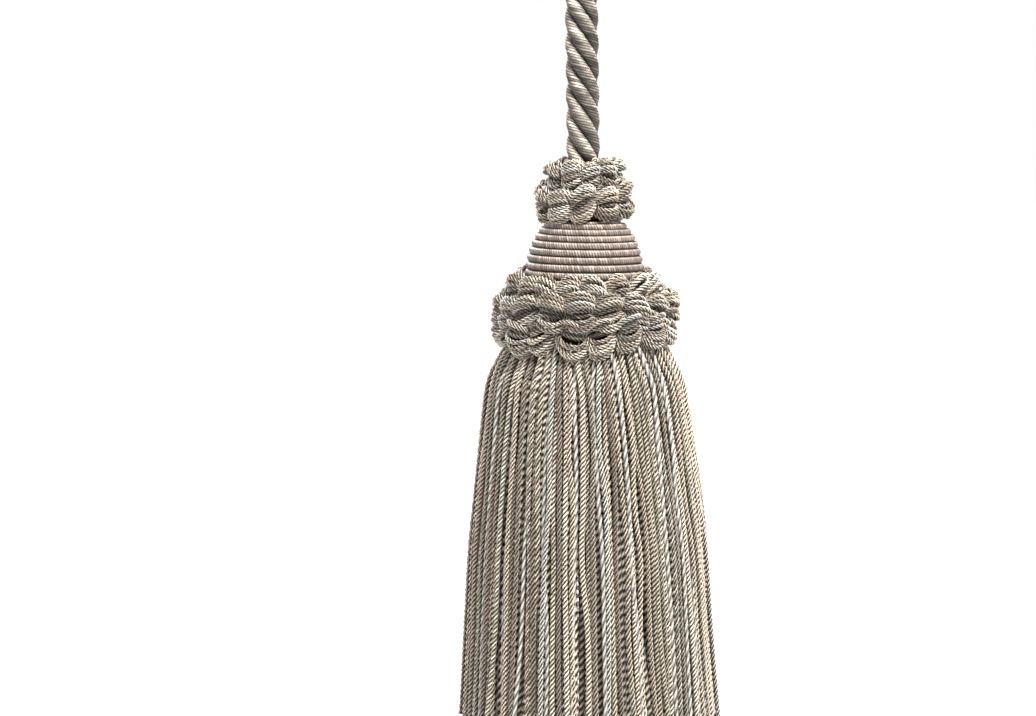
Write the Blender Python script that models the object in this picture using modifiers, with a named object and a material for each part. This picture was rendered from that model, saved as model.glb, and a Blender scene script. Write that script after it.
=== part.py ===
"""A tieback tassel on its rope: a laid rope with a bound eye, two looped ruffs, a wound head and a cut skirt.

Metres, +Z up. The tassel hangs from the origin, which is the inner side of the eye's crown.
"""

import math
import random

import bmesh
import bpy
from mathutils import Vector

MM = 0.001
WELD = 0.01 * MM

# Rope: four strands laid round each other
ROPE_DIAMETER = 12.7 * MM
ROPE_PITCH = 38.5 * MM
ROPE_STRANDS = 4
ROPE_GROOVE_RADIUS = 4.5 * MM
ROPE_CROWN_HALF_ANGLE = math.radians(17)
ROPE_STEPS_PER_PITCH = 12

# The eye, the two legs bound side by side, and the stem's shift back to the axis
EYE_RADIUS = 27 * MM
LEG_BEND_RADIUS = 26 * MM
LEG_OFFSET = 6.5 * MM
EYE_CENTRE_Z = ROPE_DIAMETER / 2 - EYE_RADIUS
WHIPPING_TOP_Z = -62.5 * MM
WHIPPING_BOTTOM_Z = -80.5 * MM
TAIL_END_Z = -80.0 * MM
WHIPPING_TURNS = 8
WHIPPING_TWINE = 1.9 * MM
WHIPPING_STEP = math.radians(30)
WHIPPING_WALL = 1.2 * MM
WHIPPING_EDGE = 0.2 * MM

# Levels and radii shared by the pieces of the tassel
GAP = 0.35 * MM
HEAD_TOP_Z = -191.2 * MM
HEAD_BOTTOM_Z = -225.6 * MM
HEAD_TOP_RADIUS = 13.6 * MM
HEAD_RADIUS = 21.3 * MM
HEAD_DOME_Z = -210.0 * MM
HEAD_ROW = 3.0 * MM
HEAD_ROW_RISE = 0.8 * MM
HEAD_SEGMENTS = 28
HEAD_SAMPLES = 200

# Unevenness of the ruffs' lobes: shares of a lobe's own turn, shares of its height, and a distance
LOBE_SHIFT = 0.15
LOBE_HALF_TURN = (0.50, 0.58)
LOBE_HEIGHT = (0.76, 1.00)
LOBE_DROP = 0.9 * MM

# Each ruff is a section turned round the axis, from its inner top edge round to its inner bottom, and
# tiers of lobes that stand up on it. A tier's middle is measured along the section.
UPPER_RUFF_SEGMENTS = 56
UPPER_RUFF_SECTION = (
    # radius_mm, z_mm, lobe_share
    (6.9, -172.0, 0.00),
    (8.0, -169.4, 0.50),
    (10.8, -168.6, 1.00),
    (12.9, -171.0, 1.00),
    (13.4, -174.6, 1.00),
    (13.0, -178.0, 1.00),
    (13.8, -181.4, 1.00),
    (14.6, -184.8, 1.00),
    (15.4, -187.8, 1.00),
    (16.4, -190.9, 0.75),
    (13.9, -190.75, 0.00),
    (6.9, -190.75, 0.00),
)
UPPER_RUFF_TIERS = (
    # lobes, middle_mm, half_length_mm, height_mm
    (7, 9.5, 7.6, 5.2),
    (8, 22.0, 7.2, 4.8),
)
LOWER_RUFF_SEGMENTS = 84
LOWER_RUFF_SECTION = (
    # radius_mm, z_mm, lobe_share
    (22.8, -214.5, 0.00),
    (23.0, -211.6, 0.45),
    (25.4, -212.2, 0.90),
    (28.0, -215.2, 1.00),
    (29.6, -218.4, 1.00),
    (30.9, -221.4, 1.00),
    (31.8, -224.6, 1.00),
    (31.7, -227.8, 1.00),
    (32.0, -231.0, 1.00),
    (32.9, -234.4, 1.00),
    (34.0, -237.8, 0.90),
    (34.5, -240.0, 0.00),
    (31.4, -235.6, 0.00),
    (26.2, -230.4, 0.00),
    (22.8, -226.8, 0.00),
)
LOWER_RUFF_TIERS = (
    # lobes, middle_mm, half_length_mm, height_mm
    (14, 8.4, 6.6, 5.0),
    (16, 18.4, 7.0, 5.4),
    (17, 28.6, 7.8, 4.6),
)

# Skirt: its binding under the head, then one row for each ring of strands, the outer ring first
BINDING_TOP_Z = -226.0 * MM
BINDING_TOP_RADIUS = 21.0 * MM
BINDING_RADIUS = 22.6 * MM
BINDING_BOTTOM_Z = -230.6 * MM
BINDING_SEGMENTS = 40
# Widths from corner to corner
STRAND_WIDTH = 2.5 * MM
STRAND_ROOT_WIDTH = 1.8 * MM
STRAND_ROOT_DEPTH = 1.6 * MM
STRAND_SHIFT = 0.08
STRAND_LEAN = 0.16
HEM_Z = -377.0 * MM
SKIRT_RINGS = (
    # strands, root_radius_mm, stagger_mm, inset_mm, hem_drop_mm, hem_spread_mm
    (100, 20.2, 2.6, 0.0, 0.0, 4.2),
    (84, 15.6, 2.4, 5.0, 4.5, 3.0),
    (56, 10.6, 2.6, 10.5, 7.0, 2.2),
)
# Path of an outer strand's middle below its root, whose share of the ring's stagger dies away downwards
SKIRT_PATH = (
    # radius_mm, z_mm, stagger_share
    (30.6, -237.6, 0.90),
    (36.9, -249.5, 0.62),
    (43.6, -303.0, 0.10),
)
HEM_RADIUS = 48.8 * MM
INNER_PATH_ROWS = (1, 2)


def clear_scene():
    for obj in list(bpy.data.objects):
        bpy.data.objects.remove(obj, do_unlink=True)


def make_collection(name):
    collection = bpy.data.collections.new(name)
    bpy.context.scene.collection.children.link(collection)
    return collection


def make_material(name, colour, roughness):
    material = bpy.data.materials.new(name)
    material.use_nodes = True
    shader = material.node_tree.nodes["Principled BSDF"]
    shader.inputs["Base Color"].default_value = (*colour, 1.0)
    shader.inputs["Roughness"].default_value = roughness
    shader.inputs["Metallic"].default_value = 0.0
    material.diffuse_color = (*colour, 1.0)
    return material


def add_object(name, data, collection, material=None):
    obj = bpy.data.objects.new(name, data)
    collection.objects.link(obj)
    if material:
        obj.data.materials.append(material)
    return obj


def add_guide(name, data, collection):
    guide = add_object(name, data, collection)
    guide.hide_render = True
    guide.display_type = "WIRE"
    return guide


def closed_outline(name, points, collection):
    """A closed flat curve in its own XY plane, for use as a bevel."""
    data = bpy.data.curves.new(name, "CURVE")
    data.dimensions = "2D"
    data.fill_mode = "NONE"
    spline = data.splines.new("POLY")
    spline.points.add(len(points) - 1)
    for point, (x, y) in zip(spline.points, reversed(points)):
        point.co = (x, y, 0.0, 1.0)
    spline.use_cyclic_u = True
    return add_guide(name, data, collection)


def curve_as_mesh(curve, name, collection, material=None):
    """A swept curve as a closed mesh, its faces split along their shorter diagonals; the curve is removed."""
    bpy.context.view_layer.update()
    graph = bpy.context.evaluated_depsgraph_get()
    mesh = bpy.data.meshes.new_from_object(curve.evaluated_get(graph))
    bm = bmesh.new()
    bm.from_mesh(mesh)
    bmesh.ops.remove_doubles(bm, verts=bm.verts, dist=WELD)
    bmesh.ops.recalc_face_normals(bm, faces=bm.faces)
    bmesh.ops.triangulate(bm, faces=bm.faces, quad_method="SHORT_EDGE")
    bm.to_mesh(mesh)
    bm.free()
    mesh.shade_smooth()
    swept = add_object(name, mesh, collection, material)
    swept.matrix_world = curve.matrix_world
    bpy.data.objects.remove(curve, do_unlink=True)
    return swept


def arc(centre, radius, start_deg, end_deg, step):
    """Points along an arc in the XZ plane, about one step apart, both ends included."""
    turn = math.radians(end_deg - start_deg)
    count = max(2, round(abs(turn) * radius / step))
    angles = [math.radians(start_deg) + turn * i / count for i in range(count + 1)]
    return [(centre[0] + radius * math.cos(a), centre[1] + radius * math.sin(a)) for a in angles]


def straight(start, end, step):
    length = math.dist(start, end)
    count = max(1, round(length / step))
    return [
        (start[0] + (end[0] - start[0]) * i / count, start[1] + (end[1] - start[1]) * i / count)
        for i in range(count + 1)
    ]


def rope_route(step):
    """The rope's middle as (x, z) points, from its bound tail, round the eye and down to the head."""
    reach = EYE_RADIUS + LEG_BEND_RADIUS
    side = LEG_OFFSET + LEG_BEND_RADIUS
    drop = math.sqrt(reach**2 - side**2)
    lean = math.degrees(math.asin(drop / reach))
    bend_z = EYE_CENTRE_Z - drop
    shift_deg = math.degrees(math.acos(1 - LEG_OFFSET / (2 * LEG_BEND_RADIUS)))
    shift_height = 2 * LEG_BEND_RADIUS * math.sin(math.radians(shift_deg))
    shift_top = WHIPPING_BOTTOM_Z
    stem_top = shift_top - shift_height
    pieces = (
        straight((-LEG_OFFSET, TAIL_END_Z), (-LEG_OFFSET, bend_z), step),
        arc((-side, bend_z), LEG_BEND_RADIUS, 0, lean, step),
        arc((0, EYE_CENTRE_Z), EYE_RADIUS, 180 + lean, -lean, step),
        arc((side, bend_z), LEG_BEND_RADIUS, 180 - lean, 180, step),
        straight((LEG_OFFSET, bend_z), (LEG_OFFSET, shift_top), step),
        arc((LEG_OFFSET - LEG_BEND_RADIUS, shift_top), LEG_BEND_RADIUS, 0, -shift_deg, step),
        arc((LEG_BEND_RADIUS, stem_top), LEG_BEND_RADIUS, 180 - shift_deg, 180, step),
        straight((0, stem_top), (0, HEAD_TOP_Z + GAP), step),
    )
    route = list(pieces[0])
    for piece in pieces[1:]:
        route.extend(piece[1:])
    return route


def lobed_section():
    """One turn of the rope's outline: a groove point and two crown points for each strand."""
    points = []
    for strand in range(ROPE_STRANDS):
        middle = 2 * math.pi * strand / ROPE_STRANDS
        groove = middle - math.pi / ROPE_STRANDS
        for angle, radius in (
            (groove, ROPE_GROOVE_RADIUS),
            (middle - ROPE_CROWN_HALF_ANGLE, ROPE_DIAMETER / 2),
            (middle + ROPE_CROWN_HALF_ANGLE, ROPE_DIAMETER / 2),
        ):
            points.append((radius * math.cos(angle), radius * math.sin(angle)))
    return points


def make_rope(parts, guides, material):
    route = rope_route(ROPE_PITCH / ROPE_STEPS_PER_PITCH)
    data = bpy.data.curves.new("rope", "CURVE")
    data.dimensions = "3D"
    data.twist_mode = "MINIMUM"
    data.bevel_mode = "OBJECT"
    data.bevel_object = closed_outline("rope_section", lobed_section(), guides)
    data.use_fill_caps = True
    spline = data.splines.new("POLY")
    spline.points.add(len(route) - 1)
    walked = 0.0
    last = route[0]
    for point, place in zip(spline.points, route):
        walked += math.dist(last, place)
        last = place
        point.co = (place[0], 0.0, place[1], 1.0)
        point.tilt = -2 * math.pi * walked / ROPE_PITCH
    return curve_as_mesh(add_guide("rope_route", data, guides), "rope", parts, material)


def whipping_wall():
    """The binding's wall as (side, up) points, outwards being -X: a rib outside for each turn of twine."""
    height = WHIPPING_TOP_Z - WHIPPING_BOTTOM_Z
    pitch = height / WHIPPING_TURNS
    points = [(0.0, -height / 2)]
    for turn in range(WHIPPING_TURNS):
        low = -height / 2 + pitch * turn
        points.append((-WHIPPING_WALL, low + WHIPPING_EDGE))
        points.append((-WHIPPING_TWINE, low + pitch / 2))
    points.append((-WHIPPING_WALL, height / 2))
    points.append((0.0, height / 2))
    return points[::-1]


def make_whipping(parts, guides, material):
    """The twine wound round both legs of the eye, which fits them with a small gap."""
    bore = ROPE_DIAMETER / 2 + GAP
    data = bpy.data.curves.new("rope_whipping", "CURVE")
    data.dimensions = "2D"
    data.fill_mode = "NONE"
    data.bevel_mode = "OBJECT"
    data.bevel_object = closed_outline("whipping_section", whipping_wall(), guides)
    ends = (
        ((LEG_OFFSET, 0.0), -90),
        ((-LEG_OFFSET, 0.0), 90),
    )
    outline = []
    for centre, start in ends:
        outline.extend(arc(centre, bore, start, start + 180, bore * WHIPPING_STEP))
    spline = data.splines.new("POLY")
    spline.points.add(len(outline) - 1)
    for point, (x, y) in zip(spline.points, outline):
        point.co = (x, y, 0.0, 1.0)
    spline.use_cyclic_u = True
    whipping = add_object("rope_whipping", data, parts, material)
    whipping.location.z = (WHIPPING_TOP_Z + WHIPPING_BOTTOM_Z) / 2
    return whipping


def head_outline(distance):
    """(radius, z, outward radius, outward z) on the plain dome, at a distance down its side from the top face."""
    span = HEAD_TOP_Z - HEAD_DOME_Z
    top_share = HEAD_TOP_RADIUS / HEAD_RADIUS
    start = math.acos(top_share)
    fall = span / math.sin(start)
    walked = 0.0
    last = (HEAD_TOP_RADIUS, HEAD_TOP_Z)
    for i in range(1, HEAD_SAMPLES + 1):
        angle = start * (1 - i / HEAD_SAMPLES)
        place = (HEAD_RADIUS * math.cos(angle), HEAD_DOME_Z + fall * math.sin(angle))
        step = math.dist(last, place)
        if walked + step >= distance:
            out = Vector((fall * math.cos(angle), HEAD_RADIUS * math.sin(angle))).normalized()
            return place[0], place[1], out.x, out.y
        walked += step
        last = place
    return HEAD_RADIUS, HEAD_DOME_Z - (distance - walked), 1.0, 0.0


def make_head(parts, material):
    """The wound dome: a turned profile whose rows of gimp stand up between grooves."""
    profile = [(0.0, HEAD_TOP_Z)]
    row = 0
    while True:
        radius, z, out_radius, out_z = head_outline(HEAD_ROW * row)
        crown = head_outline(HEAD_ROW * (row + 0.5))
        if crown[1] - HEAD_ROW < HEAD_BOTTOM_Z:
            break
        profile.append((radius, z))
        profile.append((crown[0] + HEAD_ROW_RISE * crown[2], crown[1] + HEAD_ROW_RISE * crown[3]))
        row += 1
    profile.append((HEAD_RADIUS, HEAD_BOTTOM_Z))
    profile.append((0.0, HEAD_BOTTOM_Z))
    mesh = bpy.data.meshes.new("head")
    edges = [(i, i + 1) for i in range(len(profile) - 1)]
    mesh.from_pydata([(radius, 0.0, z) for radius, z in profile], edges, [])
    head = add_object("head", mesh, parts, material)
    screw = head.modifiers.new("turn", "SCREW")
    screw.steps = HEAD_SEGMENTS
    screw.render_steps = HEAD_SEGMENTS
    screw.use_merge_vertices = True
    screw.merge_threshold = WELD
    screw.use_smooth_shade = True
    return head


def spread_lobes(tiers, seed):
    """One (turn, middle, half turn, half length, height) for each lobe, a little uneven, in metres."""
    chooser = random.Random(seed)
    lobes = []
    for tier, (count, middle_mm, half_mm, height_mm) in enumerate(tiers):
        for number in range(count):
            turn = (number + 0.5 * (tier % 2) + chooser.uniform(-LOBE_SHIFT, LOBE_SHIFT)) / count
            middle = middle_mm * MM + chooser.uniform(-LOBE_DROP, LOBE_DROP)
            half_turn = chooser.uniform(*LOBE_HALF_TURN) / count
            height = height_mm * MM * chooser.uniform(*LOBE_HEIGHT)
            lobes.append((turn, middle, half_turn, half_mm * MM, height))
    return lobes


def lobe_rise(lobes, turn, walked):
    """How far the highest lobe stands up at a share of a turn and a distance along the section."""
    best = 0.0
    for centre, middle, half_turn, half_length, height in lobes:
        across = ((turn - centre + 0.5) % 1.0 - 0.5) / half_turn
        along = (walked - middle) / half_length
        best = max(best, height * math.sqrt(max(0.0, 1 - across**2 - along**2)))
    return best


def section_stations(section):
    """(radius, z, lobe share, distance walked, outward normal) for each row of a ruff's section."""
    stations = []
    walked = 0.0
    for index, (radius_mm, z_mm, share) in enumerate(section):
        before = section[index - 1]
        after = section[(index + 1) % len(section)]
        along = Vector((after[0] - before[0], after[1] - before[1])).normalized()
        if index:
            walked += math.dist(before[:2], (radius_mm, z_mm)) * MM
        stations.append((radius_mm * MM, z_mm * MM, share, walked, Vector((-along.y, along.x))))
    return stations


def make_ruff(name, section, tiers, segments, seed, parts, material):
    """The section lofted round the axis, with its points raised where the looped lobes stand up."""
    mesh = bpy.data.meshes.new(name)
    bm = bmesh.new()
    stations = section_stations(section)
    lobes = spread_lobes(tiers, seed)
    rings = []
    for segment in range(segments):
        turn = segment / segments
        angle = 2 * math.pi * turn
        ring = []
        for radius, z, share, walked, out in stations:
            rise = share * lobe_rise(lobes, turn, walked)
            reach = radius + rise * out.x
            ring.append(bm.verts.new((reach * math.cos(angle), reach * math.sin(angle), z + rise * out.y)))
        rings.append(ring)
    for segment, ring in enumerate(rings):
        following = rings[(segment + 1) % segments]
        for index in range(len(stations)):
            after = (index + 1) % len(stations)
            bm.faces.new((ring[index], ring[after], following[after], following[index]))
    bmesh.ops.recalc_face_normals(bm, faces=bm.faces)
    bmesh.ops.triangulate(bm, faces=bm.faces, quad_method="SHORT_EDGE")
    bm.to_mesh(mesh)
    bm.free()
    mesh.shade_smooth()
    return add_object(name, mesh, parts, material)


def strand_path(ring, number, chooser):
    """Middle of one strand, from its root inside the binding to its cut end."""
    strands, root_mm, stagger_mm, inset_mm, drop_mm, spread_mm = SKIRT_RINGS[ring]
    step = 2 * math.pi / strands
    angle = step * (number + 0.5 * ring + chooser.uniform(-STRAND_SHIFT, STRAND_SHIFT))
    lean = step * chooser.uniform(-STRAND_LEAN, STRAND_LEAN)
    back = stagger_mm * MM * (number % 2)
    rows = SKIRT_PATH if ring == 0 else [SKIRT_PATH[i] for i in INNER_PATH_ROWS]
    root_z = BINDING_TOP_Z - STRAND_ROOT_DEPTH
    places = [(root_mm * MM - back, root_z, angle)]
    for radius_mm, z_mm, share in rows:
        radius = radius_mm * MM - inset_mm * MM * (radius_mm * MM / HEM_RADIUS) - back * share
        fall = (root_z - z_mm * MM) / (root_z - HEM_Z)
        places.append((radius, z_mm * MM, angle + lean * fall))
    hem_z = HEM_Z - drop_mm * MM + chooser.uniform(-1, 1) * spread_mm * MM
    places.append((HEM_RADIUS - inset_mm * MM, hem_z, angle + lean))
    return [Vector((r * math.cos(a), r * math.sin(a), z)) for r, z, a in places]


def make_strands(ring, sides, guides):
    """All strands of one ring as a mesh of closed bars with three or four sides."""
    chooser = random.Random(700 + ring)
    outline = [
        (math.cos(2 * math.pi * (i + 0.5) / sides) / 2, math.sin(2 * math.pi * (i + 0.5) / sides) / 2)
        for i in range(sides)
    ]
    data = bpy.data.curves.new("strands", "CURVE")
    data.dimensions = "3D"
    data.twist_mode = "Z_UP"
    data.bevel_mode = "OBJECT"
    data.bevel_object = closed_outline("strand_section_%d" % ring, outline, guides)
    data.use_fill_caps = True
    for number in range(SKIRT_RINGS[ring][0]):
        path = strand_path(ring, number, chooser)
        spline = data.splines.new("POLY")
        spline.points.add(len(path) - 1)
        for index, (point, place) in enumerate(zip(spline.points, path)):
            point.co = (*place, 1.0)
            point.radius = STRAND_WIDTH if index else STRAND_ROOT_WIDTH
    curve = add_guide("strands_route_%d" % ring, data, guides)
    strands = curve_as_mesh(curve, "strands_%d" % ring, guides)
    strands.hide_render = True
    strands.display_type = "WIRE"
    return strands


def make_skirt(parts, guides, material):
    """The binding under the head with every strand's root fused into it."""
    profile = (
        (0.0, BINDING_TOP_Z),
        (BINDING_TOP_RADIUS, BINDING_TOP_Z),
        (BINDING_RADIUS, (BINDING_TOP_Z + BINDING_BOTTOM_Z) / 2),
        (BINDING_RADIUS, BINDING_BOTTOM_Z),
        (0.0, BINDING_BOTTOM_Z),
    )
    mesh = bpy.data.meshes.new("skirt")
    edges = [(i, i + 1) for i in range(len(profile) - 1)]
    mesh.from_pydata([(radius, 0.0, z) for radius, z in profile], edges, [])
    skirt = add_object("skirt", mesh, parts, material)
    screw = skirt.modifiers.new("turn", "SCREW")
    screw.steps = BINDING_SEGMENTS
    screw.render_steps = BINDING_SEGMENTS
    screw.use_merge_vertices = True
    screw.merge_threshold = WELD
    for ring in range(len(SKIRT_RINGS)):
        union = skirt.modifiers.new("ring_%d" % ring, "BOOLEAN")
        union.operation = "UNION"
        union.solver = "EXACT"
        union.use_self = False
        union.object = make_strands(ring, 4 if ring == 0 else 3, guides)
    return skirt


def main():
    clear_scene()
    parts = make_collection("tassel")
    guides = make_collection("guides")
    rope_yarn = make_material("rope_yarn", (0.36, 0.29, 0.22), 0.75)
    head_yarn = make_material("head_yarn", (0.42, 0.33, 0.28), 0.80)
    ruff_yarn = make_material("ruff_yarn", (0.40, 0.35, 0.29), 0.80)
    skirt_yarn = make_material("skirt_yarn", (0.44, 0.39, 0.32), 0.70)
    make_rope(parts, guides, rope_yarn)
    make_whipping(parts, guides, rope_yarn)
    make_head(parts, head_yarn)
    make_ruff("upper_ruff", UPPER_RUFF_SECTION, UPPER_RUFF_TIERS, UPPER_RUFF_SEGMENTS, 21, parts, ruff_yarn)
    make_ruff("lower_ruff", LOWER_RUFF_SECTION, LOWER_RUFF_TIERS, LOWER_RUFF_SEGMENTS, 34, parts, ruff_yarn)
    make_skirt(parts, guides, skirt_yarn)


main()
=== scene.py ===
"""Looks of the tieback tassel: yarn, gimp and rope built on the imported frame, with studio light."""

import math

import bpy
import numpy as np
from mathutils import Matrix, Vector

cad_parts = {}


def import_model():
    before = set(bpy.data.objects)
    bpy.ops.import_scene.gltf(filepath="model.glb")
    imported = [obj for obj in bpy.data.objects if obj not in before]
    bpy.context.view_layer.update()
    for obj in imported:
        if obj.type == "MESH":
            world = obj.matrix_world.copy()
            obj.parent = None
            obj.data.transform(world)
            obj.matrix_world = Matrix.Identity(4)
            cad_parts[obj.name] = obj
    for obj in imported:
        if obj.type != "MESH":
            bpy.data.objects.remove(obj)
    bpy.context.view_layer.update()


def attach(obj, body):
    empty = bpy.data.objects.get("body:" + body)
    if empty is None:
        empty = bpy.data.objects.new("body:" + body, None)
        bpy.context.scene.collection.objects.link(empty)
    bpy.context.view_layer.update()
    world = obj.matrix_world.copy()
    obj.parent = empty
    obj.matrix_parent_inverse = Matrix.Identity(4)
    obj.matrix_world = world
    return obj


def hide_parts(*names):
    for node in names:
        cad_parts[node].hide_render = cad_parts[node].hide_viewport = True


MM = 0.001
TURN = 2 * math.pi

# The photograph's frame: its size in pixels, what a pixel measures at the tassel, and where the axis stands
PHOTO_WIDTH = 1036
PHOTO_HEIGHT = 716
PIXEL = 0.38 * MM
VIEW_TOP_Z = -106.0 * MM
AXIS_PIXEL_X = 585.5
CAMERA_ROLL = math.radians(0.73)
CAMERA_RISE = math.radians(5.0)
CAMERA_DISTANCE = 1.5
SENSOR = 36.0

# Rope, repeated from the part's source
ROPE_DIAMETER = 12.7 * MM
ROPE_PITCH = 38.5 * MM
ROPE_STRANDS = 4
STRAND_CENTRE = 3.66 * MM
STRAND_RADIUS = 2.72 * MM
ROPE_STEP = 0.65 * MM
EYE_RADIUS = 27 * MM
LEG_BEND_RADIUS = 26 * MM
LEG_OFFSET = 6.5 * MM
EYE_CENTRE_Z = ROPE_DIAMETER / 2 - EYE_RADIUS
WHIPPING_TOP_Z = -62.5 * MM
WHIPPING_BOTTOM_Z = -80.5 * MM
TAIL_END_Z = -80.0 * MM
HEAD_TOP_Z = -191.2 * MM
GAP = 0.35 * MM

# Section of a rope strand: its corners in degrees from the outward side and the tone of each, a painted
# highlight on the crown, brightest on one flank, and painted shade in the grooves. The fine threads that
# wrap it cross it at a slant, given for 60 degrees.
ROPE_CORNERS = (-150, -110, -80, -45, -10, 20, 50, 75, 105, 150)
ROPE_PAINTED_SHADING = (0.02, 0.05, 0.26, 0.42, 0.58, 1.1, 1.9, 0.9, 0.05, 0.02)
SLANT_ANGLE = 60
ROPE_SLANT = -2.3 * MM
# Of wrapped threads: how uneven they are, and the painted shade between two of them
ROPE_THREADS = (0.5, 0.1)
# Of blotches: their distance apart, and the lowest and highest tone
ROPE_BLOTCHES = (2.6 * MM, 0.5, 1.3)
ROPE_PATCHES = 0.5

# Whipping: twine wound round the eye's legs; stations nearer than its touch are one
WHIPPING_TURNS = 9
WHIPPING_TWINE = 2.1 * MM
WHIPPING_TWIST = 5 * MM
WHIPPING_STEP = 0.8 * MM
WHIPPING_TOUCH = 0.2 * MM

# Head: one gimp cord wound down a dome, its rows from the narrowest at the top to the widest
HEAD_TOP_RADIUS = 13.6 * MM
HEAD_RADIUS = 21.0 * MM
HEAD_DOME_Z = -210.0 * MM
HEAD_BOTTOM_Z = -224.0 * MM
DOME_SAMPLES = 200
DOME_STRIDE = 8
DOME_SEGMENTS = 48
DOME_INSET = 0.6 * MM
DOME_LEAST_RADIUS = 0.05 * MM
GIMP_ROWS = (2.5 * MM, 3.25 * MM)
GIMP_FIRST = 5.0 * MM
GIMP_LEAST_TURN_RADIUS = 4 * MM
GIMP_RADIUS = 1.5 * MM
GIMP_FULLNESS = 1.04
GIMP_STEP = 0.5 * MM
# The upper ruff shades the first rows: over this distance, and down to this tone
GIMP_SHADOW = (4.5 * MM, 0.12)
# Its section as the rope strand's: a painted highlight above, painted shade below and the deepest painted
# shade where two rows meet
GIMP_CORNERS = (-100, -66, -46, -30, -12, 14, 38, 60, 84, 180)
GIMP_PAINTED_SHADING = (0.05, 0.20, 1.5, 0.72, 0.56, 0.54, 0.3, 0.08, 0.03, 0.03)
GIMP_SLANT = 0.4 * MM
# Of its wrapped threads: how uneven they are, and the painted shade between two of them
GIMP_THREADS = (0.45, 0.2)
GIMP_BLOTCHES = (2.2 * MM, 0.9, 1.1)
GIMP_PATCHES = 0.3

# Yarns of the skirt and ruffs, in metres across and along one turn of their plies
SKIRT_YARN = 2.15 * MM
SKIRT_TWIST = 5.7 * MM
SILVER_TWIST = 7.8 * MM
RUFF_YARN = 1.85 * MM
RUFF_TWIST = 5.0 * MM

# Colours as dyed, linear; the ruff bases' near black is painted shade under the loops
SILVER = (0.475, 0.44, 0.388)
CREAM = (0.49, 0.415, 0.325)
BEIGE = (0.45, 0.365, 0.285)
OLIVE = (0.26, 0.225, 0.17)
TAUPE = (0.215, 0.168, 0.13)
ROPE_COLOUR = (0.20, 0.172, 0.142)
WHIPPING_COLOUR = (0.19, 0.16, 0.13)
GIMP_COLOUR = (0.325, 0.257, 0.214)
DOME_COLOUR = (0.10, 0.075, 0.06)
BASE_PAINTED_SHADE = (0.014, 0.011, 0.008)

# The yarns' palette, how often each of its colours comes, and how strong they are in skirt and ruffs
PALETTE = (SILVER, CREAM, BEIGE, OLIVE, TAUPE)
SKIRT_SHARES = (0.09, 0.18, 0.32, 0.19, 0.22)
RUFF_SHARES = (0.26, 0.15, 0.20, 0.18, 0.21)
SKIRT_DEPTH = 1.27
RUFF_DEPTH = 1.26
ONE_COLOUR_SHARE = 0.62
DYE_SPREAD = (0.86, 1.14)
PATCHES = 0.12

# Silver strands of the skirt: their strength, their second ply, and their chance, which grows by this much
# with each strand since the last one, from so many strands
SILVER_DEPTH = 0.76
SILVER_SPREAD = (0.88, 1.12)
SILVER_SECOND = 0.92
SILVER_CHANCE = 0.075
SILVER_START = 3

# A cord wrapped in thread: how thick it is on each thread, and between two of them
THREAD_RIDGE = (1.01, 1.08)
THREAD_VALLEY = 0.945

# Pieces of a smooth curve from each of its points to the next
CURVE_PIECES = 12

# Fibres: the noise that makes them uneven, their relief, and the tones of a yarn's grooves and crests:
# painted shade in the grooves and a painted highlight on the crests
FIBRE_SCALE = 2600.0
FIBRE_RELIEF = 0.15 * MM
FIBRE_NOISE = (0.25, 0.75)
RIDGES = (0.22, 0.95)
GROOVE_PAINTED_SHADE = 0.03
CREST_PAINTED_HIGHLIGHT = 1.45

# Skirt rings, the outer one first; lengths in millimetres
SKIRT_RINGS = (
    # strands, root_radius_mm, stagger_mm, inset_mm, hem_drop_mm, hem_spread_mm, unevenness, step_mm, outline
    (128, 21.4, 2.4, 0.0, 0.0, 3.0, 1.0, 0.84, "three"),
    (98, 17.2, 1.6, 4.2, 5.5, 2.2, 0.3, 1.1, "slim"),
    (84, 12.6, 1.6, 8.6, 7.0, 2.0, 0.3, 1.35, "slim"),
)
SKIRT_ROOT_Z = -228.2 * MM
TUCK_IN = 3 * MM
TUCK_UP = 1.5 * MM
SKIRT_PATH = (
    # radius_mm, z_mm, stagger_share
    (29.4, -236.7, 0.95),
    (33.4, -243.2, 0.85),
    (37.2, -252.3, 0.70),
    (40.2, -273.2, 0.45),
    (42.6, -293.0, 0.25),
    (44.8, -315.0, 0.10),
    (46.6, -345.0, 0.00),
)
HEM_RADIUS_MM = 48.9
HEM_Z = -380.0 * MM

# How uneven a strand is: how strands gather, how they sway together and alone, and what each draws from, in
# shares of its own size or in millimetres
CLUMPING = 0.28
EVEN_SHARE = 0.45
SWAY_KNOTS = 24
SWAY = 0.03
STRAND_DRIFT = 0.7
STRAND_BULK = (0.87, 1.10)
SILVER_BULK = 0.9
STRAND_TWIST = (0.88, 1.16)
STRAND_SINK_MM = (-1.3, 0.6)
STRAND_WAVE_MM = (-0.8, 0.8)
STRAND_OUT_MM = (-0.25, 0.3)
HEM_OUT_MM = (-0.4, 0.5)
STRAY_SHARE = 0.16
STRAY_MM = (-4.0, 4.0)
STRAY_OUT = 0.3
SILVER_STEP = 1.4
# How these grow from the binding to the hem: strands are sunk, clumped and swayed the most at the hem
SINK_GROWTH = 2
CLUMPED_AT_ROOT = 0.4
SWAY_GROWTH = 1.5
# The cut ends are a little thicker, over this length
FRAY = 0.30
FRAY_LENGTH = 1.2 * MM

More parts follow.
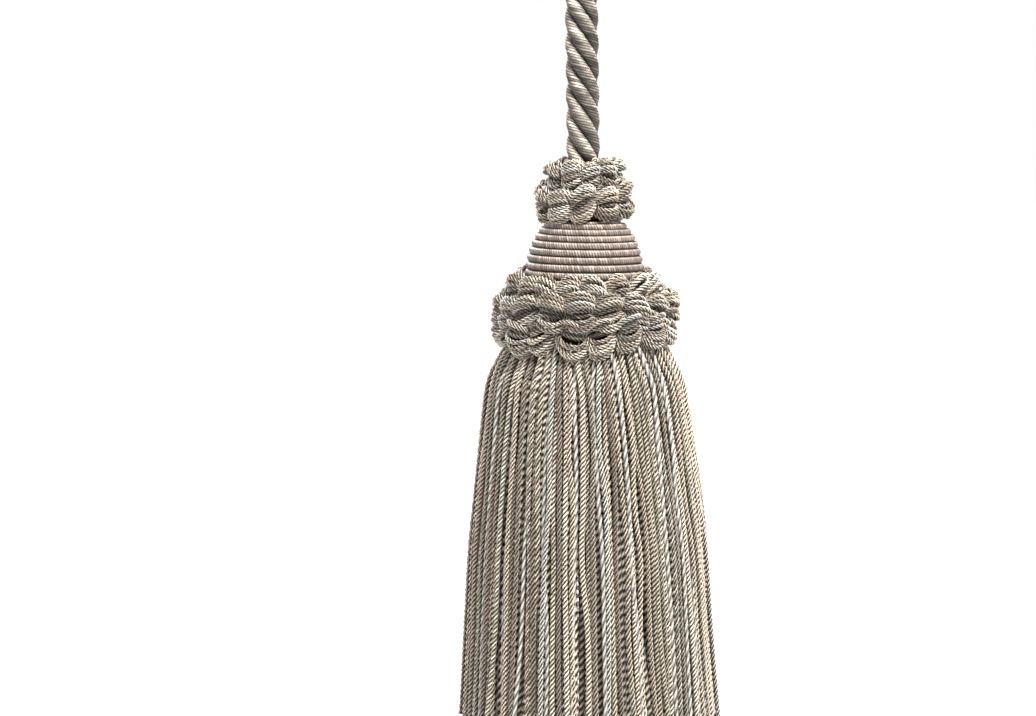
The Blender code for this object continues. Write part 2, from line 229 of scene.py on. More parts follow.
# Ruff tiers: each lobe is a lantern of yarns that run from its left end to its right end
UPPER_RUFF_TIERS = (
    # lobes, pole_radius_mm, z_mm, reach_mm, rise_mm, yarns, from_deg, to_deg, front_drop_mm
    (9, 8.4, -172.9, 8.2, 5.8, 12, -100, 118, -0.4),
    (10, 11.6, -183.2, 8.6, 7.2, 13, -92, 100, -0.2),
)
LOWER_RUFF_TIERS = (
    # lobes, pole_radius_mm, z_mm, reach_mm, rise_mm, yarns, from_deg, to_deg, front_drop_mm
    (17, 22.6, -217.6, 8.4, 9.0, 10, -15, 108, 1.4),
    (17, 27.8, -223.8, 9.0, 7.6, 12, -92, 92, -0.2),
    (18, 29.4, -227.8, 7.4, 10.2, 11, -86, 22, 1.7),
)

# What each lobe draws from: its place and half width in shares of its turn, its lean, how far its middle
# yarns are sunk, its size and its pole's place
LOBE_PLACE = (-0.13, 0.13)
LOBE_HALF = (0.54, 0.63)
LOBE_LEAN_MM = (-5.0, 5.0)
LOBE_HOLLOW = (0.15, 0.6)
HOLLOW_ANGLE = math.radians(17)
LOBE_SIZE = (0.88, 1.10)
LOBE_POLE_MM = (-0.8, 0.6)
LOBE_Z_MM = (-1.1, 1.1)
# What each of its yarns draws from, and how many points its curve goes through
LOOP_FAN_DEG = (-5, 5)
LOOP_REACH = (0.86, 1.04)
LOOP_RISE = (0.90, 1.04)
LOOP_WIDTH = (-0.05, 0.05)
LOOP_POINTS = 11
LOOP_STEPS_A_TURN = 6.0
# Its shape: how far out its ends stand, how it arches, its width at the lobe's middle and how much more at
# the lobe's upper and lower edge, and how the lobe bulges there. Arch and bulge are powers, with 1 for an
# ellipse.
LOOP_FOOT = 0.03
LOOP_ARCH = 0.9
LOOP_SPAN = (0.70, 0.30)
LOBE_BULGE = 0.6
# Its tone, painted shade: dark at its ends, and darker the further it is sunk into the lobe's hollow
LOOP_END_PAINTED_SHADE = 0.25
LOOP_LIT = 0.6
HOLLOW_PAINTED_SHADE = 1.5

# The bands that the loops are sewn to, down the outside and up the inside, near black as painted shade under
# the loops
BASE_SEGMENTS = 64
UPPER_BASE = (
    # radius_mm, z_mm
    (7.2, -170.0),
    (10.0, -171.0),
    (10.0, -176.0),
    (8.4, -178.5),
    (12.0, -183.0),
    (13.0, -188.5),
    (7.2, -190.2),
)
LOWER_BASE = (
    # radius_mm, z_mm
    (23.2, -217.5),
    (24.5, -218.0),
    (27.0, -221.5),
    (28.8, -225.0),
    (28.8, -232.0),
    (27.6, -236.0),
    (23.2, -232.5),
)

# Stage: a floor that glows towards its edge from one radius to another, and the lights
FLOOR_Z = -0.48
FLOOR_RADIUS = 6.0
FLOOR_SEGMENTS = 64
FLOOR_GLOW_FROM = 0.15
FLOOR_GLOW_TO = 0.5
FLOOR_GLOW = 0.45
LIGHTS = (
    # name, place, target, size, power
    ("key", (0.27, -0.54, 0.46), (0.0, 0.0, -0.23), 0.35, 20.0),
    ("fill", (-1.3, -0.8, 0.2), (0.0, 0.0, -0.27), 1.0, 2.5),
    ("behind", (-0.5, 1.3, 0.5), (0.0, 0.0, -0.27), 0.8, 26.0),
)

random = np.random.default_rng(12)


def unit(vectors):
    """The vectors at length one."""
    return vectors / np.maximum(np.linalg.norm(vectors, axis=-1, keepdims=True), 1e-12)


def walk(path):
    """The distance along the path at each of its points."""
    return np.concatenate([[0.0], np.cumsum(np.linalg.norm(np.diff(path, axis=0), axis=1))])


class YarnMesh:
    """Gathers swept yarns, and makes one mesh of them with a colour for each ply."""

    def __init__(self):
        self.points = []
        self.faces = []
        self.caps = []
        self.colours = []
        self.ridges = []
        self.coords = []
        self.count = 0

    def sweep(
        self, path, side, outline, twist, colours, swell=None, tones=None, patches=PATCHES, shear=None
    ):
        """Adds a yarn. path and side have one row for each station, outline has rows of x, y, colour index,
        tone and ridge, the tone and ridge giving painted light and shade round the section, and twist is in
        radians. swell and tones, where given, scale the section and its colour at each station, for painted
        shade and random unevenness. patches is how far the tone wanders from corner to corner. shear moves
        each corner along the path by so many stations, so that wound threads cross it at a slant."""
        stations, corners = len(path), len(outline)
        ahead = unit(np.gradient(path, axis=0))
        across = unit(side - ahead * np.sum(side * ahead, axis=1, keepdims=True))
        up = np.cross(ahead, across)
        size = np.ones((stations, 1)) if swell is None else swell.reshape(stations, -1)
        x = outline[:, 0][None, :] * size
        y = outline[:, 1][None, :] * size
        cos, sin = np.cos(twist)[:, None], np.sin(twist)[:, None]
        u, v = x * cos - y * sin, x * sin + y * cos
        places = path[:, None, :] + across[:, None, :] * u[..., None] + up[:, None, :] * v[..., None]
        if shear is not None:
            at = np.arange(stations)
            for corner, axis in np.ndindex(corners, 3):
                places[:, corner, axis] = np.interp(at + shear[corner], at, places[:, corner, axis])
        ring = np.arange(corners)
        beside = (ring + 1) % corners
        low = (np.arange(stations - 1) * corners)[:, None]
        high = low + corners
        quads = np.stack([low + ring, low + beside, high + beside, high + ring], axis=-1).reshape(-1, 4)
        self.points.append(places.reshape(-1, 3))
        self.faces.append(quads + self.count)
        self.caps.append(ring[::-1] + self.count)
        self.caps.append(ring + (stations - 1) * corners + self.count)
        dyes_and_shades = np.asarray(colours)[outline[:, 2].astype(int)] * outline[:, 3][:, None]
        tone = np.ones((stations, 1)) if tones is None else tones.reshape(stations, -1)
        patchy = random.uniform(1.0 - patches, 1.0 + patches, (stations, corners))
        self.colours.append(((patchy * tone)[:, :, None] * dyes_and_shades[None, :, :]).reshape(-1, 3))
        self.ridges.append(np.tile(outline[:, 4], stations))
        around = np.arange(corners) / corners
        coords = np.stack(np.broadcast_arrays(around[None, :], walk(path)[:, None]), axis=-1)
        self.coords.append(coords.reshape(-1, 2))
        self.count += stations * corners

    def skin(self, rings, colour, closed):
        """Adds rows of points as one plain form, from the top down, as this mesh's only one. closed joins
        its last row to its first, and otherwise both are capped."""
        rows, segments = rings.shape[:2]
        at = np.arange(segments)
        beside = (at + 1) % segments
        for row in range(rows if closed else rows - 1):
            low, high = row * segments, (row + 1) % rows * segments
            self.faces.append(np.column_stack([low + at, high + at, high + beside, low + beside]))
        if not closed:
            self.caps.append(at)
            self.caps.append(at[::-1] + (rows - 1) * segments)
        self.points.append(rings.reshape(-1, 3))
        self.colours.append(np.tile(colour, (rows * segments, 1)))
        self.ridges.append(np.ones(rows * segments))
        self.coords.append(np.zeros((rows * segments, 2)))

    def build(self, name, material):
        """Makes the object of all that was added."""
        points = np.concatenate(self.points)
        quads = np.concatenate(self.faces)
        loops = np.concatenate([quads.reshape(-1), *self.caps])
        sizes = np.array([4] * len(quads) + [len(cap) for cap in self.caps])
        starts = np.concatenate([[0], np.cumsum(sizes)[:-1]])
        mesh = bpy.data.meshes.new(name)
        mesh.vertices.add(len(points))
        mesh.vertices.foreach_set("co", points.astype(np.float32).reshape(-1))
        mesh.loops.add(len(loops))
        mesh.loops.foreach_set("vertex_index", loops.astype(np.int32))
        mesh.polygons.add(len(sizes))
        mesh.polygons.foreach_set("loop_start", starts.astype(np.int32))
        mesh.update(calc_edges=True)
        # Colour: dye with painted shade and highlight; alpha: the ridge that sets painted groove shade and
        # crest highlight
        dye_and_shade = mesh.color_attributes.new("dye_and_shade", "FLOAT_COLOR", "POINT")
        colours_and_ridges = np.column_stack([np.concatenate(self.colours), np.concatenate(self.ridges)])
        dye_and_shade.data.foreach_set("color", colours_and_ridges.astype(np.float32).reshape(-1))
        layer = mesh.uv_layers.new(name="along")
        layer.data.foreach_set("uv", np.concatenate(self.coords)[loops].astype(np.float32).reshape(-1))
        mesh.validate()
        mesh.shade_smooth()
        mesh.materials.append(material)
        obj = bpy.data.objects.new(name, mesh)
        bpy.context.scene.collection.objects.link(obj)
        return obj


def ply_outline(diameter, plies, groove, crest):
    """Section of a plied yarn. groove, and each row of crest, is degrees from a ply's middle, share of the
    radius and ridge, the ridge setting painted shade at 0 up to a painted highlight at 1."""
    rows = []
    for ply in range(plies):
        for degrees, share, ridge in (groove, *crest):
            angle = math.radians(360 / plies * ply + degrees)
            radius = diameter / 2 * share
            rows.append((radius * math.cos(angle), radius * math.sin(angle), ply, 1.0, ridge))
    return np.array(rows)


def round_outline(radius, degrees, tones):
    """A round section with a corner at each of these angles from its outward side, of this tone of painted
    light and shade.
    """
    angles = np.radians(degrees)
    flat = np.zeros(len(angles))
    return np.column_stack([radius * np.cos(angles), radius * np.sin(angles), flat, tones, flat + 1.0])


# Ridge of each corner: low for painted shade in the grooves between plies, high for a painted highlight on
# the crests
SHARP_CREST = ((0, 1.0, 1.0),)
SILVER_CREST = ((-46, 0.85, 0.60), (0, 1.0, 0.80), (46, 0.85, 0.60))
TWINE_CREST = ((-46, 0.82, 0.5), (0, 1.0, 1.0), (46, 0.82, 0.5))
OUTLINES = {
    "silver": ply_outline(SKIRT_YARN, 2, (-90, 0.56, 0.32), SILVER_CREST),
    "three": ply_outline(SKIRT_YARN, 3, (-60, 0.66, 0.0), SHARP_CREST),
    "slim": ply_outline(1.25 * SKIRT_YARN, 2, (-90, 0.74, 0.0), SHARP_CREST),
    "ruff": ply_outline(RUFF_YARN, 3, (-60, 0.62, 0.0), SHARP_CREST),
    "whipping": ply_outline(WHIPPING_TWINE, 2, (-90, 0.46, 0.0), TWINE_CREST),
}


def resample(path, step):
    """Stations about a step apart on a smooth curve through the path, and their distance along it."""
    dense = smooth_through(path, CURVE_PIECES)
    walked = walk(dense)
    count = max(3, int(round(walked[-1] / step)) + 1)
    stations = np.linspace(0, walked[-1], count)
    return np.column_stack([np.interp(stations, walked, dense[:, i]) for i in range(3)]), stations


def smooth_through(points, each):
    """A Catmull-Rom curve through the points, in so many pieces from each to the next."""
    padded = np.vstack([2 * points[0] - points[1], points, 2 * points[-1] - points[-2]])
    t = np.linspace(0, 1, each, endpoint=False)[:, None]
    pieces = []
    for a, b, c, d in zip(padded[:-3], padded[1:-2], padded[2:-1], padded[3:]):
        curve = 2 * b + (c - a) * t
        curve = curve + (2 * a - 5 * b + 4 * c - d) * t**2 + (3 * b - a - 3 * c + d) * t**3
        pieces.append(0.5 * curve)
    pieces.append(points[-1:])
    return np.vstack(pieces)


def wrapped_threads(stations, uneven, valley_shade):
    """Swell and tone of a cord wrapped in fine thread: a ridge at every other station, each its own, and
    painted shade in the valley between two ridges.
    """
    ridge = np.arange(stations) % 2 == 0
    bright = random.uniform(1.0 - uneven, 1.0 + uneven, stations)
    thick = random.uniform(*THREAD_RIDGE, stations)
    return np.where(ridge, thick, THREAD_VALLEY), np.where(ridge, bright, valley_shade * bright)


def blotches(walked, apart, low, high):
    """A tone that wanders along a cord between low and high."""
    knots = np.arange(0.0, walked[-1] + 2 * apart, apart)
    return np.interp(walked, knots, random.uniform(low, high, len(knots)))


def dyed(shares, depth):
    """The colours of a yarn's three plies, mostly the same, each a little uneven, at this strength."""
    first = PALETTE[random.choice(len(PALETTE), p=shares)]
    second = first if random.random() < ONE_COLOUR_SHARE else PALETTE[random.choice(len(PALETTE), p=shares)]
    return [np.array(colour) * depth * random.uniform(*DYE_SPREAD) for colour in (first, second, first)]


def fibre_material(name, roughness, sheen, rise, uneven=0.34, gloss=0.25):
    """Yarn: its dye and painted shade from the mesh colours, painted shade in the grooves between plies and
    a painted highlight on their crests, and its fibres' uneven tone and relief.
    """
    material = bpy.data.materials.new(name)
    material.use_nodes = True
    tree = material.node_tree
    shader = tree.nodes["Principled BSDF"]
    shader.inputs["Roughness"].default_value = roughness
    shader.inputs["Specular IOR Level"].default_value = gloss
    shader.inputs["Sheen Weight"].default_value = sheen
    shader.inputs["Sheen Roughness"].default_value = 0.5
    dye_and_shade = tree.nodes.new("ShaderNodeAttribute")
    dye_and_shade.attribute_name = "dye_and_shade"
    place = tree.nodes.new("ShaderNodeTexCoord")
    noise = tree.nodes.new("ShaderNodeTexNoise")
    noise.inputs["Scale"].default_value = FIBRE_SCALE
    noise.inputs["Detail"].default_value = 2.0
    tree.links.new(place.outputs["Object"], noise.inputs["Vector"])
    shade = tree.nodes.new("ShaderNodeMapRange")
    shade.inputs["From Min"].default_value = FIBRE_NOISE[0]
    shade.inputs["From Max"].default_value = FIBRE_NOISE[1]
    shade.inputs["To Min"].default_value = 1.0 - uneven
    shade.inputs["To Max"].default_value = 1.0 + 0.8 * uneven
    tree.links.new(noise.outputs["Fac"], shade.inputs["Value"])
    # Painted shade in the grooves between plies and a painted highlight on their crests, from the ridge in
    # the colour's alpha
    crest = tree.nodes.new("ShaderNodeMapRange")
    crest.interpolation_type = "SMOOTHSTEP"
    crest.inputs["From Min"].default_value = RIDGES[0]
    crest.inputs["From Max"].default_value = RIDGES[1]
    crest.inputs["To Min"].default_value = GROOVE_PAINTED_SHADE
    crest.inputs["To Max"].default_value = CREST_PAINTED_HIGHLIGHT
    tree.links.new(dye_and_shade.outputs["Alpha"], crest.inputs["Value"])
    both = tree.nodes.new("ShaderNodeMath")
    both.operation = "MULTIPLY"
    tree.links.new(shade.outputs["Result"], both.inputs[0])
    tree.links.new(crest.outputs["Result"], both.inputs[1])
    mix = tree.nodes.new("ShaderNodeVectorMath")
    mix.operation = "SCALE"
    tree.links.new(dye_and_shade.outputs["Color"], mix.inputs[0])
    tree.links.new(both.outputs["Value"], mix.inputs["Scale"])
    tree.links.new(mix.outputs["Vector"], shader.inputs["Base Color"])
    bump = tree.nodes.new("ShaderNodeBump")
    bump.inputs["Strength"].default_value = rise
    bump.inputs["Distance"].default_value = FIBRE_RELIEF
    tree.links.new(noise.outputs["Fac"], bump.inputs["Height"])
    tree.links.new(bump.outputs["Normal"], shader.inputs["Normal"])
    return material


def arc(centre, radius, start_deg, end_deg, step):
    """Points about a step apart on an arc in the plane."""
    count = max(2, int(round(abs(math.radians(end_deg - start_deg)) * radius / step)))
    angles = np.radians(np.linspace(start_deg, end_deg, count + 1))
    return np.column_stack([centre[0] + radius * np.cos(angles), centre[1] + radius * np.sin(angles)])


def straight(start, end, step):
    """Points about a step apart on a line."""
    count = max(1, int(round(math.dist(start, end) / step)))
    return np.linspace(start, end, count + 1)


def rope_route(step):
    """The rope's middle, from its end on the head up the stem, round the eye and down to its tail."""
    reach = EYE_RADIUS + LEG_BEND_RADIUS
    side = LEG_OFFSET + LEG_BEND_RADIUS
    drop = math.sqrt(reach**2 - side**2)
    lean = math.degrees(math.asin(drop / reach))
    bend_z = EYE_CENTRE_Z - drop
    shift_deg = math.degrees(math.acos(1 - LEG_OFFSET / (2 * LEG_BEND_RADIUS)))
    shift_top = WHIPPING_BOTTOM_Z
    stem_top = shift_top - 2 * LEG_BEND_RADIUS * math.sin(math.radians(shift_deg))
    pieces = (
        straight((-LEG_OFFSET, TAIL_END_Z), (-LEG_OFFSET, bend_z), step),
        arc((-side, bend_z), LEG_BEND_RADIUS, 0, lean, step),
        arc((0, EYE_CENTRE_Z), EYE_RADIUS, 180 + lean, -lean, step),
        arc((side, bend_z), LEG_BEND_RADIUS, 180 - lean, 180, step),
        straight((LEG_OFFSET, bend_z), (LEG_OFFSET, shift_top), step),
        arc((LEG_OFFSET - LEG_BEND_RADIUS, shift_top), LEG_BEND_RADIUS, 0, -shift_deg, step),
        arc((LEG_BEND_RADIUS, stem_top), LEG_BEND_RADIUS, 180 - shift_deg, 180, step),
        straight((0, stem_top), (0, HEAD_TOP_Z + GAP), step),
    )
    flat = np.vstack([pieces[0]] + [piece[1:] for piece in pieces[1:]])[::-1]
    return np.column_stack([flat[:, 0], np.zeros(len(flat)), flat[:, 1]])


def make_rope():
    """Four strands, each wrapped in fine thread, laid round the route."""
    route = rope_route(ROPE_STEP)
    walked = walk(route)
    ahead = unit(np.gradient(route, axis=0))
    depth = np.tile([0.0, 1.0, 0.0], (len(route), 1))
    beside = np.cross(ahead, depth)
    yarn = YarnMesh()
    # Painted light round each strand: a highlight on the crown and shade in the grooves
    outline = round_outline(STRAND_RADIUS, ROPE_CORNERS, ROPE_PAINTED_SHADING)
    shear = np.array(ROPE_CORNERS) / SLANT_ANGLE * ROPE_SLANT / ROPE_STEP
    for strand in range(ROPE_STRANDS):
        angle = TURN * (walked / ROPE_PITCH + strand / ROPE_STRANDS)
        offset = beside * np.cos(angle)[:, None] + depth * np.sin(angle)[:, None]
        path = route + STRAND_CENTRE * offset
        swell, tone = wrapped_threads(len(path), *ROPE_THREADS)
        tone = tone * blotches(walked, *ROPE_BLOTCHES)
        straight_on = np.zeros(len(path))
        yarn.sweep(path, offset, outline, straight_on, [ROPE_COLOUR], swell, tone, ROPE_PATCHES, shear)
    material = fibre_material("rope_wrap", roughness=0.5, sheen=0.0, rise=0.6, uneven=0.5)
    rope = yarn.build("rope_strands", material)
    return rope, route, float(walked[-1])


def make_whipping():
    """Twine wound round the eye's two legs."""
    bore = ROPE_DIAMETER / 2 + GAP
    pitch = (WHIPPING_TOP_Z - WHIPPING_BOTTOM_Z) / WHIPPING_TURNS
    radius = pitch / 2
    reach = bore + radius
    one = np.vstack([
        arc((LEG_OFFSET, 0.0), reach, -90, 90, WHIPPING_STEP),
        straight((LEG_OFFSET, reach), (-LEG_OFFSET, reach), WHIPPING_STEP)[1:-1],
        arc((-LEG_OFFSET, 0.0), reach, 90, 270, WHIPPING_STEP),
        straight((-LEG_OFFSET, -reach), (LEG_OFFSET, -reach), WHIPPING_STEP)[1:-1],
    ])
    path = np.vstack([one] * WHIPPING_TURNS)
    rise = np.linspace(WHIPPING_BOTTOM_Z + radius, WHIPPING_TOP_Z - radius, len(path))
    path = np.column_stack([path, rise])
    keep = np.concatenate([[True], np.linalg.norm(np.diff(path, axis=0), axis=1) > WHIPPING_TOUCH])
    path = path[keep]
    side = np.tile([0.0, 0.0, 1.0], (len(path), 1))
    twist = walk(path) * TURN / WHIPPING_TWIST
    yarn = YarnMesh()
    yarn.sweep(path, side, OUTLINES["whipping"], twist, [WHIPPING_COLOUR, WHIPPING_COLOUR])
    material = fibre_material("whipping_yarn", roughness=0.6, sheen=0.2, rise=0.4)
    return yarn.build("whipping_twine", material)


def dome_outline():
    """Distance from the top, radius and height down the dome's side."""
    start = math.acos(HEAD_TOP_RADIUS / HEAD_RADIUS)
    fall = (HEAD_TOP_Z - HEAD_DOME_Z) / math.sin(start)
    angle = np.linspace(start, 0, DOME_SAMPLES)
    radius = np.concatenate([[0.0], HEAD_RADIUS * np.cos(angle), [HEAD_RADIUS]])
    height = np.concatenate([[HEAD_TOP_Z], HEAD_DOME_Z + fall * np.sin(angle), [HEAD_BOTTOM_Z]])
    return walk(np.column_stack([radius, height])), radius, height


def turned_rings(radii, heights, segments):
    """Rows of points round the axis, one row for each radius and height."""
    angles = np.arange(segments) * TURN / segments
    level = np.repeat(np.asarray(heights)[:, None], segments, 1)
    return np.stack([np.outer(radii, np.cos(angles)), np.outer(radii, np.sin(angles)), level], axis=-1)


def make_head():
    """A plain dome with gimp cord wound round it in rows that widen downwards."""
    walked, radius, height = dome_outline()
    places = []
    rows = []
    shadows = []
    shadow_end = GIMP_FIRST + GIMP_SHADOW[0]
    down = GIMP_FIRST
    angle = 0.0
    while down < walked[-1] - GIMP_RADIUS:
        r = float(np.interp(down, walked, radius))
        z = float(np.interp(down, walked, height))
        places.append((r * math.cos(angle), r * math.sin(angle), z))
        row = float(np.interp(down, (GIMP_FIRST, walked[-1]), GIMP_ROWS))
        rows.append(row)
        shadows.append(float(np.interp(down, (GIMP_FIRST, shadow_end), (GIMP_SHADOW[1], 1.0))))
        turn = GIMP_STEP / max(r, GIMP_LEAST_TURN_RADIUS)
        angle += turn
        down += row * turn / TURN
    path = np.array(places)
    # Painted light round the gimp: a highlight on its upper side, shade below and between rows
    outline = round_outline(GIMP_RADIUS, GIMP_CORNERS, GIMP_PAINTED_SHADING)
    swell, tone = wrapped_threads(len(path), *GIMP_THREADS)
    tone = tone * blotches(np.arange(len(path)) * GIMP_STEP, *GIMP_BLOTCHES) * np.array(shadows)
    swell = swell * np.array(rows) / (2 * GIMP_RADIUS) * GIMP_FULLNESS
    shear = np.array(GIMP_CORNERS) / SLANT_ANGLE * GIMP_SLANT / GIMP_STEP
    outward = unit(path * [1, 1, 0])
    gimp = YarnMesh()
    gimp.sweep(path, outward, outline, np.zeros(len(path)), [GIMP_COLOUR], swell, tone, GIMP_PATCHES, shear)
    material = fibre_material("gimp_wrap", roughness=0.55, sheen=0.05, rise=0.6, uneven=0.42)
    windings = gimp.build("head_gimp", material)

    inner = np.maximum(radius - DOME_INSET, DOME_LEAST_RADIUS)
    core = YarnMesh()
    core.skin(turned_rings(inner, height, DOME_SEGMENTS)[::DOME_STRIDE], DOME_COLOUR, closed=False)
    dome = core.build("head_dome", fibre_material("dome_yarn", roughness=0.8, sheen=0.1, rise=0.3))
    return windings, dome


def make_ruff(name, tiers, material):
    """Tiers of lobes, each a lantern of plied yarns that bulge out between its two ends."""
    yarns = YarnMesh()
    for tier, row in enumerate(tiers):
        lobes, pole_mm, z_mm, reach_mm, rise_mm, count, low_deg, high_deg, drop_mm = row
        for lobe in range(lobes):
            middle = TURN * (lobe + 0.5 * (tier % 2) + random.uniform(*LOBE_PLACE)) / lobes
            half = TURN / lobes * random.uniform(*LOBE_HALF)
            lean = random.uniform(*LOBE_LEAN_MM) * MM
            hollow = random.uniform(*LOBE_HOLLOW)
            size = random.uniform(*LOBE_SIZE)
            pole = (pole_mm + random.uniform(*LOBE_POLE_MM)) * MM
            z = (z_mm + random.uniform(*LOBE_Z_MM) - drop_mm * max(0.0, -math.sin(middle))) * MM
            for number in range(count):
                share = number / (count - 1)
                fan = math.radians(low_deg + (high_deg - low_deg) * share + random.uniform(*LOOP_FAN_DEG))
                sunk = 1.0 - hollow * math.exp(-((fan / HOLLOW_ANGLE) ** 2))
                reach = reach_mm * MM * size * sunk * random.uniform(*LOOP_REACH)
                rise = rise_mm * MM * size * random.uniform(*LOOP_RISE)
                t = np.linspace(0, math.pi, LOOP_POINTS)
                out = LOOP_FOOT + (1 - LOOP_FOOT) * np.sin(t) ** LOOP_ARCH
                width = LOOP_SPAN[0] + LOOP_SPAN[1] * abs(math.sin(fan)) + random.uniform(*LOOP_WIDTH)
                outward = math.copysign(abs(math.cos(fan)) ** LOBE_BULGE, math.cos(fan))
                angle = middle - half * np.cos(t) * width
                radius = pole + reach * outward * out
                height = z - lean * np.cos(t) / 2 + rise * math.sin(fan) * out
                path = np.column_stack([radius * np.cos(angle), radius * np.sin(angle), height])
                path, walked = resample(path, RUFF_TWIST / LOOP_STEPS_A_TURN)
                side = np.tile([0.0, 0.0, 1.0], (len(path), 1))
                twist = random.uniform(0, TURN) + walked * TURN / RUFF_TWIST
                colours = dyed(RUFF_SHARES, RUFF_DEPTH)
                # Painted shade: dark at the loop's ends and darker in the lobe's hollow
                lit = np.sin(walked / walked[-1] * math.pi) ** LOOP_LIT
                tones = sunk**HOLLOW_PAINTED_SHADE * (LOOP_END_PAINTED_SHADE + (1 - LOOP_END_PAINTED_SHADE) * lit)
                yarns.sweep(path, side, OUTLINES["ruff"], twist, colours, tones=tones)
    return yarns.build(name, material)


def make_base(name, section, material):
    """The band of a ruff, which its loops are sewn to, near black as painted shade under them."""
    radii, heights = np.transpose(section) * MM
    band = YarnMesh()
    # Near black: painted shade under the loops
    band.skin(turned_rings(radii, heights, BASE_SEGMENTS), BASE_PAINTED_SHADE, closed=True)
    return band.build(name, material)


def make_skirt(material):
    """Rings of strands from the binding to their cut ends, the outer ring in three pieces."""
    pieces = []
    for ring, row in enumerate(SKIRT_RINGS):
        strands, root_mm, stagger_mm, inset_mm, drop_mm, spread_mm, loose, step_mm, kind = row
        clump = np.cumsum(random.uniform(1 - CLUMPING * loose, 1 + CLUMPING * loose, strands))
        clump = clump / clump[-1] * TURN
        sway = random.uniform(-1, 1, SWAY_KNOTS)
        sway = np.append(sway, sway[0])
        knots = np.arange(SWAY_KNOTS + 1)
        meshes = [YarnMesh() for _ in range(3 if kind == "three" else 1)]
        since_silver = SILVER_START
        for number in range(strands):
            even = TURN * number / strands
            angle = EVEN_SHARE * even + (1 - EVEN_SHARE) * clump[number]
            back = stagger_mm * MM * (number % 2)
            drift = np.interp(angle / TURN * SWAY_KNOTS, knots, sway) * SWAY
            drift += random.normal(0, STRAND_DRIFT) * loose * TURN / strands
            colours = dyed(SKIRT_SHARES, SKIRT_DEPTH)
            silver = kind == "three" and random.random() < SILVER_CHANCE * since_silver
            since_silver = 0 if silver else since_silver + 1
            if silver:
                bright = np.array(SILVER) * SKIRT_DEPTH * SILVER_DEPTH * random.uniform(*SILVER_SPREAD)
                colours = [bright, SILVER_SECOND * bright]
            bulk = random.uniform(*STRAND_BULK) * (SILVER_BULK if silver else 1.0)
            turn_length = (SILVER_TWIST if silver else SKIRT_TWIST) * random.uniform(*STRAND_TWIST)
            sink = random.uniform(*STRAND_SINK_MM)
            root = root_mm * MM - back
            places = [(root - TUCK_IN, SKIRT_ROOT_Z + TUCK_UP, even), (root, SKIRT_ROOT_Z, even)]
            waves = random.uniform(*STRAND_WAVE_MM, len(SKIRT_PATH)) * loose
            for (radius_mm, z_mm, share), wave in zip(SKIRT_PATH, waves):
                fall = (SKIRT_ROOT_Z - z_mm * MM) / (SKIRT_ROOT_Z - HEM_Z)
                radius = (radius_mm - inset_mm * radius_mm / HEM_RADIUS_MM) * MM - back * share
                radius += (random.uniform(*STRAND_OUT_MM) + sink * min(1.0, SINK_GROWTH * fall)) * MM
                at = even + (angle - even) * min(1.0, CLUMPED_AT_ROOT + fall) + drift * fall**SWAY_GROWTH
                places.append((radius, z_mm * MM, at + wave * MM / radius))
            hem_z = HEM_Z - drop_mm * MM + random.uniform(-1, 1) * spread_mm * MM
            hem_radius = (HEM_RADIUS_MM - inset_mm + random.uniform(*HEM_OUT_MM) + sink) * MM
            stray = random.uniform(*STRAY_MM) * MM if random.random() < STRAY_SHARE * loose else 0.0
            places.append((hem_radius + STRAY_OUT * abs(stray), hem_z, angle + drift + stray / hem_radius))
            path = np.array([(r * math.cos(a), r * math.sin(a), z) for r, z, a in places])
            path, walked = resample(path, step_mm * (SILVER_STEP if silver else 1.0) * MM)
            side = unit(path * [1, 1, 0])
            twist = random.uniform(0, TURN) + walked * TURN / turn_length
            left = walked[-1] - walked
            swell = bulk * (1.0 + FRAY * np.exp(-left / FRAY_LENGTH))
            mesh = meshes[number * len(meshes) // strands]
            mesh.sweep(path, side, OUTLINES["silver" if silver else kind], twist, colours, swell)
        for index, mesh in enumerate(meshes):
            pieces.append(mesh.build("skirt_ring%d_%d" % (ring + 1, index + 1), material))
    return pieces


def add_area(name, place, target, size, power):
    """A square white light at a place, turned to its target."""
    data = bpy.data.lights.new(name, "AREA")
    data.shape = "SQUARE"
    data.size = size
    data.energy = power
    light = bpy.data.objects.new(name, data)
    bpy.context.scene.collection.objects.link(light)
    light.location = place
    direction = np.array(target) - np.array(place)
    light.rotation_mode = "QUATERNION"
    light.rotation_quaternion = Vector(direction).to_track_quat("-Z", "Y")


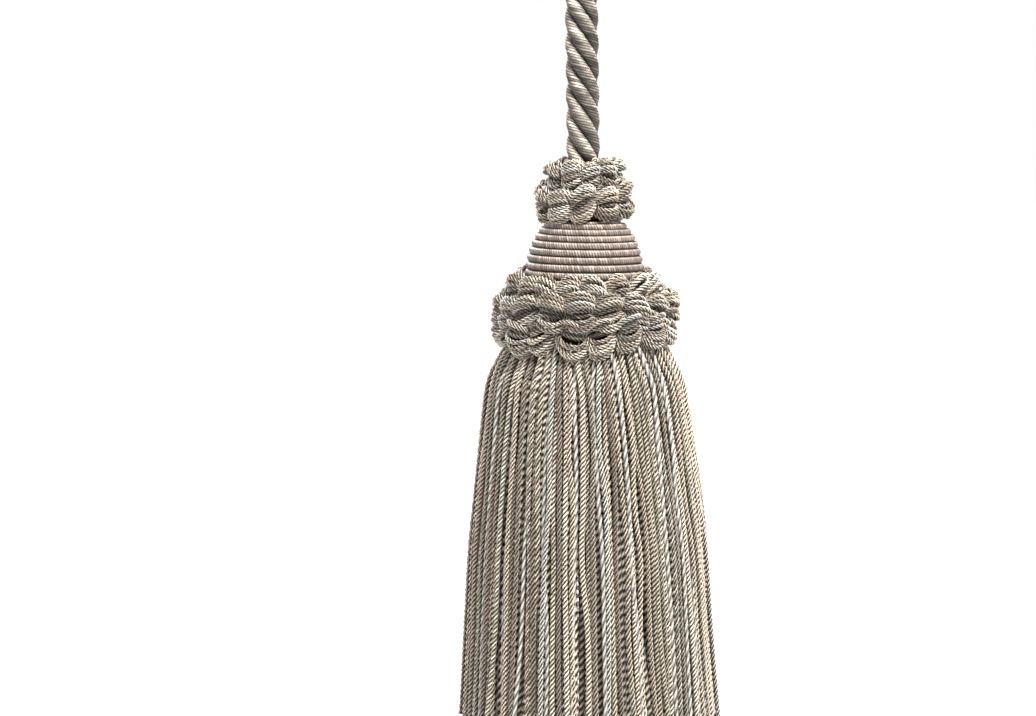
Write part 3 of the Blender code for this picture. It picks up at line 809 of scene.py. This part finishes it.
def make_stage():
    """A plain pale floor under the hanging tassel, a white surround and soft light."""
    bpy.ops.mesh.primitive_circle_add(
        vertices=FLOOR_SEGMENTS, radius=FLOOR_RADIUS, fill_type="NGON", location=(0, 0, FLOOR_Z)
    )
    floor = bpy.context.object
    floor.name = "floor"
    material = bpy.data.materials.new("floor_paint")
    material.use_nodes = True
    tree = material.node_tree
    shader = tree.nodes["Principled BSDF"]
    shader.inputs["Base Color"].default_value = (0.66, 0.66, 0.66, 1.0)
    shader.inputs["Roughness"].default_value = 0.9
    shader.inputs["Specular IOR Level"].default_value = 0.1
    shader.inputs["Emission Color"].default_value = (1.0, 1.0, 1.0, 1.0)
    place = tree.nodes.new("ShaderNodeTexCoord")
    far = tree.nodes.new("ShaderNodeVectorMath")
    far.operation = "LENGTH"
    glow = tree.nodes.new("ShaderNodeMapRange")
    glow.interpolation_type = "SMOOTHSTEP"
    glow.inputs["From Min"].default_value = FLOOR_GLOW_FROM
    glow.inputs["From Max"].default_value = FLOOR_GLOW_TO
    glow.inputs["To Max"].default_value = FLOOR_GLOW
    tree.links.new(place.outputs["Object"], far.inputs[0])
    tree.links.new(far.outputs["Value"], glow.inputs["Value"])
    tree.links.new(glow.outputs["Result"], shader.inputs["Emission Strength"])
    floor.data.materials.append(material)
    world = bpy.data.worlds.new("surround")
    world.use_nodes = True
    back = world.node_tree.nodes["Background"]
    back.inputs["Color"].default_value = (1.0, 1.0, 1.0, 1.0)
    back.inputs["Strength"].default_value = 1.0
    bpy.context.scene.world = world
    for light in LIGHTS:
        add_area(*light)


def make_camera():
    """The photograph's view."""
    scene = bpy.context.scene
    scene.view_settings.view_transform = "Standard"
    data = bpy.data.cameras.new("camera")
    camera = bpy.data.objects.new("camera", data)
    scene.collection.objects.link(camera)
    data.sensor_width = SENSOR
    data.lens = SENSOR * CAMERA_DISTANCE / (PHOTO_WIDTH * PIXEL)
    data.clip_start = 0.01
    data.clip_end = 50.0
    x = -(AXIS_PIXEL_X - PHOTO_WIDTH / 2) * PIXEL
    z = VIEW_TOP_Z - PHOTO_HEIGHT / 2 * PIXEL
    camera.matrix_world = (
        Matrix.Translation((x, 0.0, z))
        @ Matrix.Rotation(-CAMERA_RISE, 4, "X")
        @ Matrix.Translation((0.0, -CAMERA_DISTANCE, 0.0))
        @ Matrix.Rotation(math.pi / 2, 4, "X")
        @ Matrix.Rotation(-CAMERA_ROLL, 4, "Z")
    )
    scene.camera = camera


def main():
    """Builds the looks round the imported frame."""
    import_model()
    make_camera()
    make_stage()

    rope, route, length = make_rope()
    whipping = make_whipping()
    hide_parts("rope")
    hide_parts("rope_whipping")
    for piece in (rope, whipping):
        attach(piece, "root")

    windings, dome = make_head()
    for piece in (windings, dome):
        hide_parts("head")
        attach(piece, "root")

    ruff_yarn = fibre_material("ruff_fibre", roughness=0.5, sheen=0.1, rise=0.5)
    base_yarn = fibre_material(
        "ruff_base_fibre", roughness=0.95, sheen=0.0, rise=0.5, uneven=0.5, gloss=0.05
    )
    upper = make_ruff("upper_ruff_loops", UPPER_RUFF_TIERS, ruff_yarn)
    lower = make_ruff("lower_ruff_loops", LOWER_RUFF_TIERS, ruff_yarn)
    upper_base = make_base("upper_ruff_base", UPPER_BASE, base_yarn)
    lower_base = make_base("lower_ruff_base", LOWER_BASE, base_yarn)
    for piece, node in (
        (upper, "upper_ruff"),
        (lower, "lower_ruff"),
        (upper_base, "upper_ruff"),
        (lower_base, "lower_ruff"),
    ):
        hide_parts(node)
        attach(piece, "root")

    skirt = make_skirt(fibre_material("skirt_fibre", roughness=0.5, sheen=0.1, rise=0.5))
    for piece in skirt:
        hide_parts("skirt")
        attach(piece, "root")


main()
